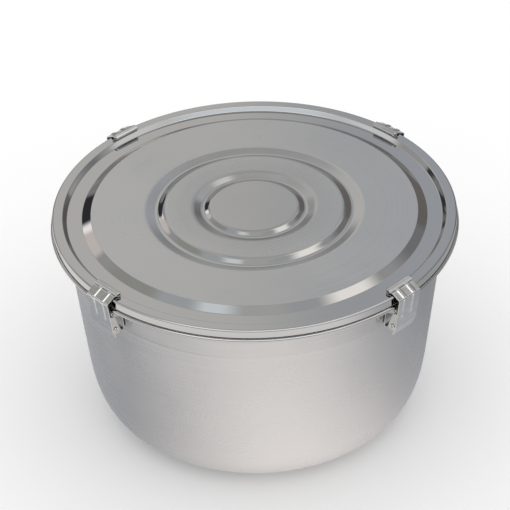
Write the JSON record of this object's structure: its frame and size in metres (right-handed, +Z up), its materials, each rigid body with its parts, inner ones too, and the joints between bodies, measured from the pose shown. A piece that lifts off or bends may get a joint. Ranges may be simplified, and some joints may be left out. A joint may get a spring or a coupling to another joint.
{
  "type": "food canister",
  "caption": "Large round stainless-steel food canister: drawn pot, pressed ring-grooved lid with gasket, and over-centre latches that hook over the lid's flange.",
  "frame": {"origin": "centre of the pot's flat base, on the surface it stands on", "axes": "+Z up along the pot's axis; +X and +Y between two latches each, so the latches lie at 45 degrees to both"},
  "size_m": [0.4078, 0.4078, 0.2322],
  "materials": {
    "pot_steel": "satin, fine lines round the wall",
    "lid_steel": "satin panels with polished gutter and groove walls",
    "clip_steel": "bright rolled sheet",
    "bracket_steel": "bright rolled sheet",
    "pin_steel": "turned and polished",
    "gasket_silicone": "matt silicone"
  },
  "bodies": {
    "pot": {"pot_body": "pot_steel", "bracket_1": "bracket_steel", "bracket_pin_1": "pin_steel", "bracket_2": "bracket_steel", "bracket_pin_2": "pin_steel", "bracket_3": "bracket_steel", "bracket_pin_3": "pin_steel", "bracket_4": "bracket_steel", "bracket_pin_4": "pin_steel"},
    "lid": {"lid": "lid_steel", "lid_gasket": "gasket_silicone"},
    "link_1": {"link_1": "bracket_steel"},
    "clip_1": {"clip_1": "clip_steel", "clip_pin_1": "pin_steel"},
    "link_2": {"link_2": "bracket_steel"},
    "clip_2": {"clip_2": "clip_steel", "clip_pin_2": "pin_steel"},
    "link_3": {"link_3": "bracket_steel"},
    "clip_3": {"clip_3": "clip_steel", "clip_pin_3": "pin_steel"},
    "link_4": {"link_4": "bracket_steel"},
    "clip_4": {"clip_4": "clip_steel", "clip_pin_4": "pin_steel"}
  },
  "joints": [
    {"name": "lid_lift", "type": "slide", "parent": "pot", "child": "lid", "axis": [0, 0, 1], "range_m": [0, 0.01]},
    {"name": "link_1_swing", "type": "hinge", "parent": "pot", "child": "link_1", "pos_m": [0.14185, -0.14185, 0.2087], "axis": [-0.7071, -0.7071, 0], "range_deg": [0, 25]},
    {"name": "clip_1_swing", "type": "hinge", "parent": "link_1", "child": "clip_1", "pos_m": [0.14128, -0.14128, 0.1925], "axis": [0.7071, 0.7071, 0], "range_deg": [0, 170]},
    {"name": "link_2_swing", "type": "hinge", "parent": "pot", "child": "link_2", "pos_m": [0.14185, 0.14185, 0.2087], "axis": [0.7071, -0.7071, 0], "range_deg": [0, 25]},
    {"name": "clip_2_swing", "type": "hinge", "parent": "link_2", "child": "clip_2", "pos_m": [0.14128, 0.14128, 0.1925], "axis": [-0.7071, 0.7071, 0], "range_deg": [0, 170]},
    {"name": "link_3_swing", "type": "hinge", "parent": "pot", "child": "link_3", "pos_m": [-0.14185, 0.14185, 0.2087], "axis": [0.7071, 0.7071, 0], "range_deg": [0, 25]},
    {"name": "clip_3_swing", "type": "hinge", "parent": "link_3", "child": "clip_3", "pos_m": [-0.14128, 0.14128, 0.1925], "axis": [-0.7071, -0.7071, 0], "range_deg": [0, 170]},
    {"name": "link_4_swing", "type": "hinge", "parent": "pot", "child": "link_4", "pos_m": [-0.14185, -0.14185, 0.2087], "axis": [-0.7071, 0.7071, 0], "range_deg": [0, 25]},
    {"name": "clip_4_swing", "type": "hinge", "parent": "link_4", "child": "clip_4", "pos_m": [-0.14128, -0.14128, 0.1925], "axis": [0.7071, -0.7071, 0], "range_deg": [0, 170]}
  ],
  "couplings": [
    {"joint": "link_1_swing", "follows": "lid_lift", "rad_per_m": 43.6},
    {"joint": "clip_1_swing", "follows": "lid_lift", "rad_per_m": 296.7},
    {"joint": "link_2_swing", "follows": "lid_lift", "rad_per_m": 43.6},
    {"joint": "clip_2_swing", "follows": "lid_lift", "rad_per_m": 296.7},
    {"joint": "link_3_swing", "follows": "lid_lift", "rad_per_m": 43.6},
    {"joint": "clip_3_swing", "follows": "lid_lift", "rad_per_m": 296.7},
    {"joint": "link_4_swing", "follows": "lid_lift", "rad_per_m": 43.6},
    {"joint": "clip_4_swing", "follows": "lid_lift", "rad_per_m": 296.7}
  ]
}
